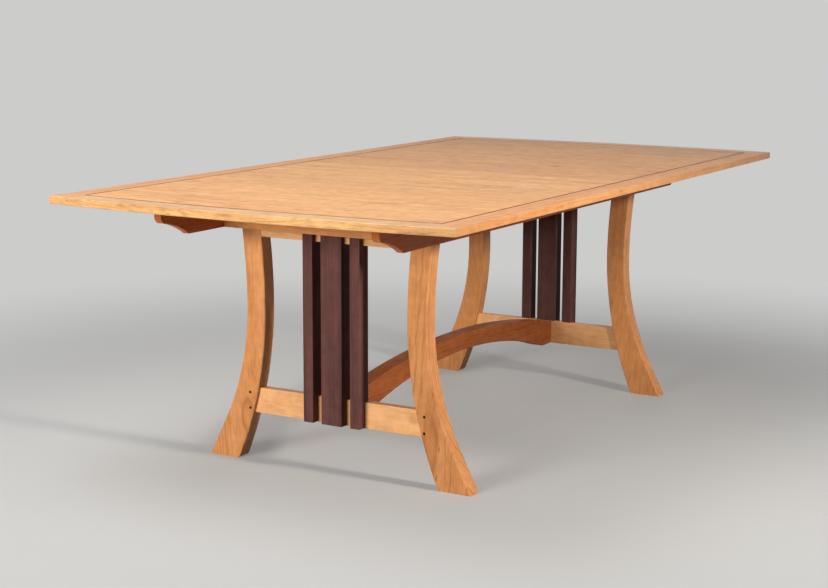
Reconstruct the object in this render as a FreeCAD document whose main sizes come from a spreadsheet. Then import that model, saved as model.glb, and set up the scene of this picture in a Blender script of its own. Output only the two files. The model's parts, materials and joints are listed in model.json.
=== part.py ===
import FreeCAD
import Part
import Sketcher
import math
import os
from types import SimpleNamespace

# A trestle dining table whose top draws apart in the middle. All lengths are in millimetres.
# X runs along the table, Y across it and Z up, from the floor under the middle of the table.
# Left and right are the two short ends, front and back the two long sides.

# Driving sizes
SIZES = {
    # Top
    "table_height": 750,
    "top_length": 2150,  # between the corners, from which the ends bow out
    "top_width": 1180,
    "end_bow": 36,
    "top_thickness": 20,
    "arris_ease": 2,
    "border_width": 65,
    "inlay_width": 6,
    "inlay_depth": 4,
    "seam_gap": 0.4,
    "seam_chamfer": 0.9,
    # Pins across the seam
    "pin_diameter": 8,
    "pin_length": 32,
    "pin_edge": 170,  # from the long edge to the nearest pin
    "pin_step": 240,
    "pin_fit": 0.2,
    "pin_end_gap": 1,
    # Bearers under the top
    "bearer_inset": 258,  # from the long edge
    "bearer_end_inset": 99,  # from the corners' line
    "bearer_thickness": 21,
    "bearer_depth": 83,
    "bearer_end_gap": 2,
    "nose_drop": 26,
    "nose_radius": 20,
    "cove_run": 96,
    "cove_radius": 250,
    # Boards between the bearers
    "cross_board_gap": 32,  # from the legs
    "cross_board_thickness": 22,
    "cross_tenon_thickness": 10,
    "cross_tenon_length": 8,
    "cross_tenon_shoulder": 12,
    "batten_thickness": 22,
    "batten_end_gap": 4,
    "opening_travel": 305,
    "stop_gap": 2,
    # Screws
    "screw_diameter": 4.5,
    "screw_head_diameter": 8.6,
    "screw_head_height": 3,
    "screw_fit": 0.2,
    "top_screw_seat": 25,
    "top_screw_bite": 12,
    "top_screw_setback": 6.5,
    "top_screw_margin": 70,  # from the bearer's end at the seam
    "top_screw_end_margin": 48,  # from the bearer's shaped end
    "batten_screw_margin": 85,
    "runner_screw_length": 48,
    "runner_screw_spread": 29,
    "runner_screw_rise": 40,
    # Runners and their keys
    "slide_clearance": 0.3,
    "runner_thickness": 22,
    "runner_depth": 77,
    "key_height": 12,
    "key_width": 16,
    "key_stand": 8,
    "key_drop": 40,
    "key_end_inset": 10,  # from the legs
    "key_end_gap": 6,
    # Legs
    "leg_end_inset": 420,  # from the corners' line
    "leg_depth": 45,
    "leg_top_drop": 8,
    "waist_inset": 9.7,  # from the runner's inner face
    "waist_width": 59,
    "outer_waist_height": 430,
    "outer_upper_radius": 1600,
    "outer_lower_radius": 720,
    "inner_waist_height": 440,
    "inner_upper_radius": 1650,
    "inner_lower_radius": 1090,
    "foot_splay": 27,  # degrees from upright
    "foot_bevel": 6,
    "leg_edge_round": 3,
    # Rails
    "board_ease": 1.5,  # the rounding of a straight board's long arrises
    "lower_rail_thickness": 24,
    "lower_rail_bottom": 133,
    "lower_rail_depth": 71,
    "top_rail_drop": 24,  # below the top
    "top_rail_thickness": 42,
    "top_rail_depth": 86,
    "tenon_thickness": 12,
    "tenon_shoulder": 5,
    "tenon_fit": 0.1,
    "lower_tenon_past": 25,  # past the legs' outer waist
    "top_tenon_short": 5,  # short of the legs' outer waist
    "peg_diameter": 8,
    "peg_depth": 40,
    "peg_stand": 0.8,
    "peg_inset": 6.5,  # from the legs' outer waist
    "peg_edge": 13.7,
    # Slats
    "slat_depth": 43,
    "slat_stand": 26.5,  # from the lower rail's face
    "slat_lift": 2.5,  # from the lower rail's underside
    "middle_slat_width": 64,
    "side_slat_width": 30.5,
    "slat_gap": 25.5,
    # Stretcher
    "stretcher_thickness": 48,
    "crown_rise": 63,
    "arch_rise": 85,
    "stretcher_flat": 59.5,
    "stretcher_tenon_length": 18,
    "stretcher_tenon_thickness": 24,
    "stretcher_tenon_shoulder": 13,
    "stretcher_peg_diameter": 9,
    "stretcher_peg_length": 40,
}
TOP_SCREWS_PER_BEARER = 4
EASE_FLATS = 3
MITRE_OVERRUN_SHARE = 2  # how far a mitre's cut runs past the border, in border widths
END_SWEEP_SHARE = 3  # the end border's sweep before its mitres, in half sweeps of the end

doc = FreeCAD.newDocument("trestle_table")
sheet = doc.addObject("Spreadsheet::Sheet", "Sizes")
for row, (alias, number) in enumerate(SIZES.items(), start=1):
    sheet.set(f"A{row}", alias)
    sheet.set(f"B{row}", str(number))
    sheet.setAlias(f"B{row}", alias)
doc.recompute()


class Formula:
    """A length worked out from the sheet: the text that the document reads, and its value now."""

    def __init__(self, text, value):
        self.text = text
        self.value = value

    def __add__(self, other):
        return Formula(f"({self.text} + {text_of(other)})", self.value + value_of(other))

    def __sub__(self, other):
        return Formula(f"({self.text} - {text_of(other)})", self.value - value_of(other))

    def __mul__(self, other):
        return Formula(f"({self.text} * {text_of(other)})", self.value * value_of(other))

    def __truediv__(self, other):
        return Formula(f"({self.text} / {text_of(other)})", self.value / value_of(other))

    def __neg__(self):
        return Formula(f"(0 - {self.text})", -self.value)


def text_of(item):
    """The formula text of a length or a plain number."""
    return item.text if isinstance(item, Formula) else str(item)


def value_of(item):
    """The present value of a length or a plain number."""
    return item.value if isinstance(item, Formula) else item


def root(item):
    """The square root of a formula."""
    return Formula(f"sqrt({item.text})", math.sqrt(item.value))


def sine(angle):
    """The sine of an angle in degrees."""
    return Formula(f"sin({angle.text} * 1 deg)", math.sin(math.radians(angle.value)))


def cosine(angle):
    """The cosine of an angle in degrees."""
    return Formula(f"cos({angle.text} * 1 deg)", math.cos(math.radians(angle.value)))


def arc_radius(half_chord, rise):
    """The radius of an arc from half its chord and its rise."""
    return (half_chord * half_chord + rise * rise) / (rise * 2)


def arc_fall(radius, distance):
    """How far an arc falls away from its tangent at a distance along that tangent."""
    return radius - root(radius * radius - distance * distance)


ZERO = Formula("0", 0)
size = SimpleNamespace(**{alias: Formula(f"Sizes.{alias}", number) for alias, number in SIZES.items()})

# Levels and places that several pieces share
underside = size.table_height - size.top_thickness
half_length = size.top_length / 2
half_width = size.top_width / 2
seam_face = size.seam_gap / 2
end_radius = arc_radius(half_width, size.end_bow)
end_centre = half_length + size.end_bow - end_radius
pin_height = underside + size.top_thickness / 2

bearer_outer = half_width - size.bearer_inset
bearer_inner = bearer_outer - size.bearer_thickness
bearer_bottom = underside - size.bearer_depth
bearer_reach = half_length - size.bearer_end_inset
cove_outer = bearer_reach - size.nose_radius
cove_inner = cove_outer - size.cove_run
runner_outer = bearer_inner - size.slide_clearance
runner_inner = runner_outer - size.runner_thickness
runner_top = underside - size.slide_clearance
runner_bottom = runner_top - size.runner_depth
key_middle = underside - size.key_drop
key_low = key_middle - size.key_height / 2
key_high = key_middle + size.key_height / 2
key_outer = runner_outer + size.key_stand
key_inner = key_outer - size.key_width

leg_outer = half_length - size.leg_end_inset
leg_inner = leg_outer - size.leg_depth
leg_top = runner_top - size.leg_top_drop
outer_waist = runner_inner - size.waist_inset
inner_waist = outer_waist - size.waist_width
key_reach = leg_inner - size.key_end_inset
rail_middle = leg_outer - size.leg_depth / 2
rail_face = rail_middle + size.lower_rail_thickness / 2
rail_back = rail_middle - size.lower_rail_thickness / 2
top_rail_face = rail_middle + size.top_rail_thickness / 2
top_rail_back = rail_middle - size.top_rail_thickness / 2
lower_rail_top = size.lower_rail_bottom + size.lower_rail_depth
top_rail_top = underside - size.top_rail_drop
top_rail_bottom = top_rail_top - size.top_rail_depth
lower_tenon_reach = outer_waist + size.lower_tenon_past
top_tenon_reach = outer_waist - size.top_tenon_short
peg_place = outer_waist - size.peg_inset
cross_board_back = leg_outer + size.cross_board_gap
cross_board_face = cross_board_back + size.cross_board_thickness
batten_face = leg_inner - size.opening_travel - size.stop_gap
batten_back = batten_face - size.batten_thickness
batten_reach = runner_inner - size.batten_end_gap
top_screw_line = bearer_outer - size.top_screw_setback
top_screw_seat = underside - size.top_screw_seat
top_screw_tip = underside + size.top_screw_bite

UP = FreeCAD.Vector(0, 0, 1)
DIRECTIONS = {
    "x": FreeCAD.Vector(1, 0, 0),
    "y": FreeCAD.Vector(0, 1, 0),
    "z": UP,
}
nodes = []


# Ways of making a solid

def block(name, x_span, y_span, z_span):
    """A rectangular block between a low and a high place on each axis."""
    box = doc.addObject("Part::Box", name)
    spans = (x_span, y_span, z_span)
    for side, axis, (low, high) in zip(("Length", "Width", "Height"), "xyz", spans):
        box.setExpression(side, text_of(high - low))
        box.setExpression(f"Placement.Base.{axis}", text_of(low))
    return box


def rod(name, axis, span, centre, diameter):
    """A round rod along an axis; centre maps the other two axes to its place on them."""
    bar = doc.addObject("Part::Cylinder", name)
    bar.Placement = FreeCAD.Placement(FreeCAD.Vector(), FreeCAD.Rotation(UP, DIRECTIONS[axis]))
    low, high = span
    bar.setExpression("Radius", text_of(diameter / 2))
    bar.setExpression("Height", text_of(high - low))
    for place_axis, place in {**centre, axis: low}.items():
        bar.setExpression(f"Placement.Base.{place_axis}", text_of(place))
    return bar


def group(name, pieces):
    """Several solids kept apart in one object."""
    compound = doc.addObject("Part::Compound", name)
    compound.Links = pieces
    return compound


def cut(name, piece, tools):
    """A piece with the tools' space taken out of it."""
    result = doc.addObject("Part::Cut", name)
    result.Base = piece
    result.Tool = tools[0] if len(tools) == 1 else group(f"{name}_tools", tools)
    return result


def fuse(name, pieces):
    """Several touching solids joined into one."""
    result = doc.addObject("Part::MultiFuse", name)
    result.Shapes = pieces
    return result


def common(name, piece, limits):
    """The part of a piece that lies inside the limits."""
    result = doc.addObject("Part::Common", name)
    result.Base = piece
    result.Tool = limits
    return result


def mirrored(name, piece, axis):
    """The mirror image of a piece on the other side of the table's middle."""
    image = doc.addObject("Part::Mirroring", name)
    image.Source = piece
    image.Normal = DIRECTIONS[axis]
    return image


def outline(body, plane_role, offset, corners, arcs):
    """A closed sketch through its corners; arcs maps a side to its radius and its centre's side."""
    sketch = body.newObject("Sketcher::SketchObject", f"{body.Name}_outline")
    plane = next(item for item in body.Origin.OriginFeatures if item.Role == plane_role)
    sketch.AttachmentSupport = [(plane, "")]
    sketch.MapMode = "FlatFace"
    sketch.setExpression("AttachmentOffset.Base.z", text_of(offset))
    spots = [FreeCAD.Vector(value_of(across), value_of(up), 0) for across, up in corners]
    starts = []
    ends = []
    for side, first in enumerate(spots):
        second = spots[(side + 1) % len(spots)]
        if side not in arcs:
            sketch.addGeometry(Part.LineSegment(first, second), False)
            starts.append(1)
            ends.append(2)
            continue
        radius, hand = arcs[side]
        chord = second - first
        reach = math.sqrt(radius.value ** 2 - (chord.Length / 2) ** 2)
        leftward = UP.cross(chord).normalize() * (reach if hand == "left" else -reach)
        centre = first + chord / 2 + leftward
        begin, finish = (first, second) if hand == "left" else (second, first)
        angles = [math.atan2(spot.y - centre.y, spot.x - centre.x) for spot in (begin, finish)]
        circle = Part.Circle(centre, UP, radius.value)
        sketch.addGeometry(Part.ArcOfCircle(circle, *angles), False)
        starts.append(1 if hand == "left" else 2)
        ends.append(2 if hand == "left" else 1)
    for side, corner in enumerate(corners):
        following = (side + 1) % len(corners)
        joined = Sketcher.Constraint("Coincident", side, ends[side], following, starts[following])
        sketch.addConstraint(joined)
        for kind, place in zip(("DistanceX", "DistanceY"), corner):
            rule = Sketcher.Constraint(kind, -1, 1, side, starts[side], float(value_of(place)))
            number = sketch.addConstraint(rule)
            sketch.setExpression(f"Constraints[{number}]", text_of(place))
        if side in arcs:
            radius = arcs[side][0]
            number = sketch.addConstraint(Sketcher.Constraint("Radius", side, radius.value))
            sketch.setExpression(f"Constraints[{number}]", radius.text)
    return sketch


def board(name, plane_role, span, corners, arcs=None):
    """A board of an even thickness, cut to an outline; span is its low and high face."""
    low, high = span
    body = doc.addObject("PartDesign::Body", name)
    offset = -high if plane_role == "XZ_Plane" else low
    sketch = outline(body, plane_role, offset, corners, arcs or {})
    pad = body.newObject("PartDesign::Pad", f"{name}_pad")
    pad.Profile = sketch
    pad.setExpression("Length", text_of(high - low))
    return body


def eased_board(name, plane_role, span, across, up):
    """A straight board with rounded long arrises; across and up are the two spans of its section."""
    ease = size.board_ease
    (left, right), (low, high) = across, up
    corners = [
        (left + ease, low),
        (right - ease, low),
        (right, low + ease),
        (right, high - ease),
        (right - ease, high),
        (left + ease, high),
        (left, high - ease),
        (left, low + ease),
    ]
    arcs = {side: (ease, "left") for side in range(1, len(corners), 2)}
    return board(name, plane_role, span, corners, arcs)


def bent_board(name, corners, centre, sweep):
    """A board bent about an upright line at a place on X: its section swept both ways from the middle."""
    body = doc.addObject("PartDesign::Body", name)
    section = outline(body, "XZ_Plane", ZERO, corners, {})
    section.setExpression("AttachmentOffset.Base.x", centre.text)
    turn = body.newObject("PartDesign::Revolution", f"{name}_turn")
    turn.Profile = section
    turn.ReferenceAxis = (section, ["V_Axis"])
    turn.Midplane = True
    turn.setExpression("Angle", sweep.text)
    return body


def round_edges(body, radius, chosen):
    """Round those edges of a board that the chosen test picks."""
    doc.recompute()
    pad = body.Tip
    names = [f"Edge{number}" for number, edge in enumerate(pad.Shape.Edges, start=1) if chosen(edge)]
    rounding = body.newObject("PartDesign::Fillet", f"{body.Name}_rounding")
    rounding.Base = (pad, names)
    rounding.setExpression("Radius", radius.text)
    body.Tip = rounding
    return body


def screw(name, axis, head_span, shank_span, centre):
    """A screw with a round head."""
    head = rod(f"{name}_head", axis, head_span, centre, size.screw_head_diameter)
    shank = rod(f"{name}_shank", axis, shank_span, centre, size.screw_diameter)
    return fuse(name, [head, shank])


# Ways of keeping a piece as a node

def keep(name, piece):
    """Name a finished piece as a node."""
    piece.Label = name
    nodes.append(piece)
    return piece


def keep_both_ends(name, piece):
    """Keep a piece of the right end and its image at the left end."""
    keep(f"right_{name}", piece)
    keep(f"left_{name}", mirrored(f"left_{name}", piece, "x"))


def keep_both_sides(name, piece):
    """Keep a piece of the back side and its image at the front side."""
    keep(f"back_{name}", piece)
    keep(f"front_{name}", mirrored(f"front_{name}", piece, "y"))


def keep_four(name, piece):
    """Keep a piece of the right back quarter and its image in each other quarter."""
    keep_both_ends(f"back_{name}", piece)
    keep_both_ends(f"front_{name}", mirrored(f"right_front_{name}_image", piece, "y"))


# Legs
def make_leg_blank():
    """The right back leg's curved outline before any joint is cut in it."""
    outer_turn = size.outer_lower_radius * sine(size.foot_splay)
    outer_fall = size.outer_lower_radius - size.outer_lower_radius * cosine(size.foot_splay)
    turn_place = outer_waist + outer_fall
    turn_height = size.outer_waist_height - outer_turn
    foot_outer = turn_place + turn_height * sine(size.foot_splay) / cosine(size.foot_splay)
    top_outer = outer_waist + arc_fall(size.outer_upper_radius, leg_top - size.outer_waist_height)
    top_inner = inner_waist + arc_fall(size.inner_upper_radius, leg_top - size.inner_waist_height)
    bevel_drop = size.inner_waist_height - size.foot_bevel
    bevel_place = inner_waist + arc_fall(size.inner_lower_radius, bevel_drop)
    foot_inner = inner_waist + arc_fall(size.inner_lower_radius, size.inner_waist_height)
    corners = [
        (foot_inner + size.foot_bevel, 0),
        (foot_outer, 0),
        (turn_place, turn_height),
        (outer_waist, size.outer_waist_height),
        (top_outer, leg_top),
        (top_inner, leg_top),
        (inner_waist, size.inner_waist_height),
        (bevel_place, size.foot_bevel),
    ]
    arcs = {
        2: (size.outer_lower_radius, "right"),
        3: (size.outer_upper_radius, "right"),
        5: (size.inner_upper_radius, "left"),
        6: (size.inner_lower_radius, "left"),
    }
    blank = board("leg_blank", "YZ_Plane", (leg_inner, leg_outer), corners, arcs)
    return round_edges(blank, size.leg_edge_round, is_long_leg_edge)


def is_long_leg_edge(edge):
    """Whether an edge of the leg's blank runs up the leg, other than along the foot's bevel."""
    box = edge.BoundBox
    return box.ZLength > box.XLength and box.ZLength > size.foot_bevel.value * 2


def mortise(name, reach, bottom, top):
    """The space in the right back leg for a rail's tenon."""
    half = size.tenon_thickness / 2 + size.tenon_fit
    low = bottom + size.tenon_shoulder - size.tenon_fit
    high = top - size.tenon_shoulder + size.tenon_fit
    return block(name, (rail_middle - half, rail_middle + half), (ZERO, reach), (low, high))


def peg_heights():
    """The heights of the two pegs in each leg."""
    return (size.lower_rail_bottom + size.peg_edge, lower_rail_top - size.peg_edge)


def runner_screw_places():
    """The places of the two screws that hold a runner to the right back leg."""
    half_spread = size.runner_screw_spread / 2
    half_rise = size.runner_screw_rise / 2
    return (
        (rail_middle - half_spread, key_middle + half_rise),
        (rail_middle + half_spread, key_middle - half_rise),
    )


def make_legs(blank):
    """The four legs, with a seat for the runner, mortises and holes."""
    lower_reach = lower_tenon_reach + size.tenon_fit
    top_reach = top_tenon_reach + size.tenon_fit
    tools = [
        block(
            "runner_seat", (leg_inner - size.leg_depth, leg_outer + size.leg_depth),
            (runner_inner, half_width), (runner_bottom, underside),
        ),
        mortise("lower_mortise", lower_reach, size.lower_rail_bottom, lower_rail_top),
        mortise("top_mortise", top_reach, top_rail_bottom, top_rail_top),
    ]
    for number, height in enumerate(peg_heights()):
        span = (leg_outer - size.peg_depth, leg_outer + size.peg_depth)
        centre = {"y": peg_place, "z": height}
        tools.append(rod(f"peg_hole_{number}", "x", span, centre, size.peg_diameter + size.tenon_fit))
    tip = runner_outer - size.runner_screw_length
    for number, (along, height) in enumerate(runner_screw_places()):
        centre = {"x": along, "z": height}
        hole = size.screw_diameter + size.screw_fit
        tools.append(rod(f"leg_screw_hole_{number}", "y", (tip, runner_outer), centre, hole))
    keep_four("leg", cut("right_back_leg", blank, tools))


# Rails, pegs and slats
def make_rail(name, leg_blanks, reach, faces, levels):
    """A rail whose ends are scribed to the legs' curve, with a tenon at each end."""
    bottom, top = levels
    blank = eased_board(f"{name}_blank", "XZ_Plane", (-reach, reach), faces, levels)
    between = cut(f"{name}_between_legs", blank, leg_blanks)
    half = size.tenon_thickness / 2
    tenon = block(
        f"{name}_tenon", (rail_middle - half, rail_middle + half), (-reach, reach),
        (bottom + size.tenon_shoulder, top - size.tenon_shoulder),
    )
    return fuse(f"{name}_with_tenons", [between, tenon])


def make_rails(leg_blank):
    """The lower and the top rail of each trestle."""
    leg_blanks = [leg_blank, mirrored("front_leg_blank", leg_blank, "y")]
    bottom = size.lower_rail_bottom
    lower_levels = (bottom, lower_rail_top)
    lower = make_rail("lower_rail", leg_blanks, lower_tenon_reach, (rail_back, rail_face), lower_levels)
    tools = []
    for side, place in (("back", peg_place), ("front", -peg_place)):
        for number, height in enumerate(peg_heights()):
            centre = {"y": place, "z": height}
            hole = size.peg_diameter + size.tenon_fit
            tools.append(rod(f"{side}_tenon_hole_{number}", "x", (rail_back, rail_face), centre, hole))
    fit = size.tenon_fit
    half = size.stretcher_tenon_thickness / 2 + fit
    shoulder = size.stretcher_tenon_shoulder - fit
    tools.append(block(
        "stretcher_mortise", (leg_inner, rail_back + size.stretcher_tenon_length + fit), (-half, half),
        (bottom + shoulder, lower_rail_top - shoulder),
    ))
    peg_end = bottom + size.stretcher_peg_length
    peg_hole = size.stretcher_peg_diameter + fit
    tools.append(rod("stretcher_peg_hole", "z", (bottom, peg_end), stretcher_peg_centre(), peg_hole))
    keep_both_ends("lower_rail", cut("right_lower_rail", lower, tools))
    top_faces = (top_rail_back, top_rail_face)
    top_levels = (top_rail_bottom, top_rail_top)
    top = make_rail("top_rail", leg_blanks, top_tenon_reach, top_faces, top_levels)
    keep_both_ends("top_rail", top)


def make_leg_pegs():
    """The pegs that lock the lower rails' tenons, a little proud of the legs' outer faces."""
    pegs = []
    for side, place in (("back", peg_place), ("front", -peg_place)):
        for number, height in enumerate(peg_heights()):
            span = (leg_outer - size.peg_depth, leg_outer + size.peg_stand)
            centre = {"y": place, "z": height}
            pegs.append(rod(f"{side}_peg_{number}", "x", span, centre, size.peg_diameter))
    keep_both_ends("leg_pegs", group("right_leg_pegs", pegs))


def make_slat(name, across):
    """An upright slat that laps the faces of both rails and fills the space between them."""
    front = rail_face + size.slat_stand
    back = front - size.slat_depth
    heights = (size.lower_rail_bottom + size.slat_lift, top_rail_top)
    blank = eased_board(f"{name}_blank", "XY_Plane", heights, (back, front), across)
    low, high = across
    wide = (low - size.slat_gap, high + size.slat_gap)
    lower = block(f"{name}_lower_notch", (leg_inner, rail_face), wide, (ZERO, lower_rail_top))
    over = (leg_inner, top_rail_face)
    upper = block(f"{name}_upper_notch", over, wide, (top_rail_bottom, underside))
    return cut(f"right_{name}", blank, [lower, upper])


def make_slats():
    """A wide slat between two narrow ones in each trestle."""
    half = size.middle_slat_width / 2
    keep_both_ends("middle_slat", make_slat("middle_slat", (-half, half)))
    near = half + size.slat_gap
    far = near + size.side_slat_width
    keep_both_ends("back_slat", make_slat("back_slat", (near, far)))
    keep_both_ends("front_slat", make_slat("front_slat", (-far, -near)))


# Stretcher
def stretcher_peg_centre():
    """Where a peg goes up through the right lower rail into the stretcher's tenon."""
    return {"x": rail_back + size.stretcher_tenon_length / 2, "y": ZERO}


def runs_along(edge):
    """Whether an edge runs along the table."""
    box = edge.BoundBox
    return box.XLength > box.YLength and box.XLength > box.ZLength


def make_stretcher():
    """The arched beam between the lower rails, and the peg in each of its tenons."""
    bottom = size.lower_rail_bottom
    foot = rail_back - size.stretcher_flat
    crown_radius = arc_radius(rail_back, size.crown_rise)
    arch_radius = arc_radius(foot, size.arch_rise)
    corners = [
        (-rail_back, bottom),
        (-foot, bottom),
        (foot, bottom),
        (rail_back, bottom),
        (rail_back, lower_rail_top),
        (-rail_back, lower_rail_top),
    ]
    arcs = {1: (arch_radius, "right"), 4: (crown_radius, "left")}
    half = size.stretcher_thickness / 2
    beam = board("stretcher_beam", "XZ_Plane", (-half, half), corners, arcs)
    beam = round_edges(beam, size.board_ease, runs_along)
    tenon_half = size.stretcher_tenon_thickness / 2
    tip = rail_back + size.stretcher_tenon_length
    low = bottom + size.stretcher_tenon_shoulder
    high = lower_rail_top - size.stretcher_tenon_shoulder
    root_place = foot + size.stretcher_flat / 2
    tenon = block("stretcher_tenon", (root_place, tip), (-tenon_half, tenon_half), (low, high))
    whole = fuse("stretcher_whole", [beam, tenon, mirrored("stretcher_left_tenon", tenon, "x")])
    peg_end = bottom + size.stretcher_peg_length
    centre = stretcher_peg_centre()
    hole_diameter = size.stretcher_peg_diameter + size.tenon_fit
    hole = rod("stretcher_tenon_hole", "z", (bottom, peg_end), centre, hole_diameter)
    left_hole = mirrored("stretcher_left_hole", hole, "x")
    keep("stretcher", cut("stretcher", whole, [hole, left_hole]))
    peg = rod("right_stretcher_peg", "z", (bottom, peg_end), centre, size.stretcher_peg_diameter)
    left_peg = mirrored("left_stretcher_peg", peg, "x")
    keep("stretcher_pegs", group("stretcher_pegs", [peg, left_peg]))


# Runners
def make_runners():
    """The runners let into the tops of the legs, each with its key and its screws."""
    blank = block(
        "runner_blank", (-leg_outer, leg_outer), (runner_inner, runner_outer), (runner_bottom, runner_top),
    )
    slot = block("runner_slot", (-key_reach, key_reach), (key_inner, half_width), (key_low, key_high))
    holes = []
    screws = []
    head_low = runner_outer - size.screw_head_height - size.screw_fit
    head_high = head_low + size.screw_head_height
    tip = runner_outer - size.runner_screw_length
    for number, (along, height) in enumerate(runner_screw_places()):
        centre = {"x": along, "z": height}
        head_hole = size.screw_head_diameter + size.screw_fit
        shank_hole = size.screw_diameter + size.screw_fit
        holes.append(rod(f"runner_head_hole_{number}", "y", (head_low, half_width), centre, head_hole))
        shank_span = (runner_inner - size.runner_thickness, head_low)
        holes.append(rod(f"runner_shank_hole_{number}", "y", shank_span, centre, shank_hole))
        screws.append(screw(f"runner_screw_{number}", "y", (head_low, head_high), (tip, head_low), centre))
    drilled = fuse("runner_holes", holes)
    left_drilled = mirrored("runner_left_holes", drilled, "x")
    keep_both_sides("runner", cut("back_runner", blank, [slot, drilled, left_drilled]))
    key = block("back_runner_key", (-key_reach, key_reach), (key_inner, key_outer), (key_low, key_high))
    keep_both_sides("runner_key", key)
    left_screws = [mirrored(f"left_{item.Name}", item, "x") for item in screws]
    keep_both_sides("runner_screws", group("back_runner_screws", screws + left_screws))


# Bearers and the boards between them
def top_screw_places():
    """Where the screws go up through the right half's back bearer, along the table."""
    first = size.bearer_end_gap + size.top_screw_margin
    last = cove_inner - size.top_screw_end_margin
    step = (last - first) / (TOP_SCREWS_PER_BEARER - 1)
    return [first + step * number for number in range(TOP_SCREWS_PER_BEARER)]


def screw_tools(name, along, across):
    """The spaces that a top screw takes out of the board that it goes up through."""
    centre = {"x": along, "y": across}
    head_hole = size.screw_head_diameter + size.screw_fit
    shank_hole = size.screw_diameter + size.screw_fit
    counterbore = rod(f"{name}_counterbore", "z", (bearer_bottom, top_screw_seat), centre, head_hole)
    shank = rod(f"{name}_hole", "z", (top_screw_seat, underside), centre, shank_hole)
    return fuse(f"{name}_space", [counterbore, shank])


def cross_tenon_span(fit):
    """The thickness, reach and height that a cross board's tenon takes in a bearer."""
    middle = cross_board_face - size.cross_board_thickness / 2
    half = size.cross_tenon_thickness / 2 + fit
    reach = bearer_inner + size.cross_tenon_length + fit
    low = bearer_bottom + size.cross_tenon_shoulder - fit
    high = underside - size.cross_tenon_shoulder + fit
    return (middle - half, middle + half), (-reach, reach), (low, high)


def is_low_bearer_edge(edge):
    """Whether an edge of the bearer's blank runs along its lower side."""
    return runs_along(edge) and edge.BoundBox.ZMin < underside.value


def make_bearers():
    """The bearers, with a shaped end, a groove for the runner's key and holes for the screws."""
    nose_low = underside - size.nose_drop
    cove_high = nose_low - size.nose_radius
    corners = [
        (size.bearer_end_gap, bearer_bottom),
        (cove_inner, bearer_bottom),
        (cove_outer, cove_high),
        (bearer_reach, nose_low),
        (bearer_reach, underside),
        (size.bearer_end_gap, underside),
    ]
    arcs = {1: (size.cove_radius, "right"), 2: (size.nose_radius, "left")}
    blank = board("bearer_blank", "XZ_Plane", (bearer_inner, bearer_outer), corners, arcs)
    blank = round_edges(blank, size.board_ease, is_low_bearer_edge)
    fit = size.slide_clearance
    groove = block(
        "bearer_groove", (ZERO, key_reach + size.key_end_gap), (runner_inner, key_outer + fit),
        (key_low - fit, key_high + fit),
    )
    tools = [groove, block("cross_mortise", *cross_tenon_span(size.tenon_fit))]
    for number, along in enumerate(top_screw_places()):
        tools.append(screw_tools(f"bearer_screw_{number}", along, top_screw_line))
    keep_four("bearer", cut("right_back_bearer", blank, tools))


def make_cross_boards():
    """The boards between the bearers outside the trestles, with a stub tenon at each end."""
    span = (cross_board_back, cross_board_face)
    length = (-bearer_inner, bearer_inner)
    plain = eased_board("cross_board_blank", "XZ_Plane", length, span, (bearer_bottom, underside))
    tenon = block("cross_tenon", *cross_tenon_span(0))
    keep_both_ends("cross_board", fuse("right_cross_board", [plain, tenon]))


def batten_screw_places():
    """Where the screws go up through a batten, across the table."""
    outer = batten_reach - size.batten_screw_margin
    return [-outer, ZERO, outer]


def make_battens():
    """The battens near the seam, which meet the legs when a half is drawn right out."""
    across_span = (-batten_reach, batten_reach)
    blank = block("batten_blank", (batten_back, batten_face), across_span, (bearer_bottom, underside))
    middle = batten_face - size.batten_thickness / 2
    tools = [
        screw_tools(f"batten_screw_{number}", middle, across)
        for number, across in enumerate(batten_screw_places())
    ]
    keep_both_ends("batten", cut("right_batten", blank, tools))


def top_screw_spots():
    """The place of every screw that goes up into the right half's field."""
    along = top_screw_places()
    spots = [(place, top_screw_line) for place in along]
    spots += [(place, -top_screw_line) for place in along]
    middle = batten_face - size.batten_thickness / 2
    return spots + [(middle, across) for across in batten_screw_places()]


def make_top_screws():
    """The screws up through the bearers and battens into the field."""
    screws = []
    head_span = (top_screw_seat - size.screw_head_height, top_screw_seat)
    for number, (along, across) in enumerate(top_screw_spots()):
        centre = {"x": along, "y": across}
        screws.append(screw(f"top_screw_{number}", "z", head_span, (top_screw_seat, top_screw_tip), centre))
    keep_both_ends("top_screws", group("right_top_screws", screws))


# Top
def end_corner(inset):
    """The right back corner of the outline that lies an inset in from the top's edge."""
    across = half_width - inset
    radius = end_radius - inset
    return end_centre + root(radius * radius - across * across), across


def make_seam_groove():
    """The wedge that eases the right half's arris along the seam."""
    ease = size.seam_chamfer
    high = size.table_height + ease
    corners = [
        (seam_face - ease, high - ease * 3),
        (seam_face + ease * 2, high),
        (seam_face - ease, high),
    ]
    return board("seam_groove", "XZ_Plane", (-half_width, half_width), corners)


def border_section(inner, outer):
    """The corners of a border's section, whose outer arrises are eased with a few flats."""
    eased = []
    for number in range(EASE_FLATS + 1):
        turn = math.radians(90 * number / EASE_FLATS)
        in_share = 1 - math.sin(turn)
        up_share = 1 - math.cos(turn)
        eased.append((outer - size.arris_ease * in_share, size.arris_ease * up_share))
    lower = [(place, underside + rise) for place, rise in eased]
    upper = [(place, size.table_height - rise) for place, rise in reversed(eased)]
    return [(inner, underside), *lower, *upper, (inner, size.table_height)]


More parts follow.
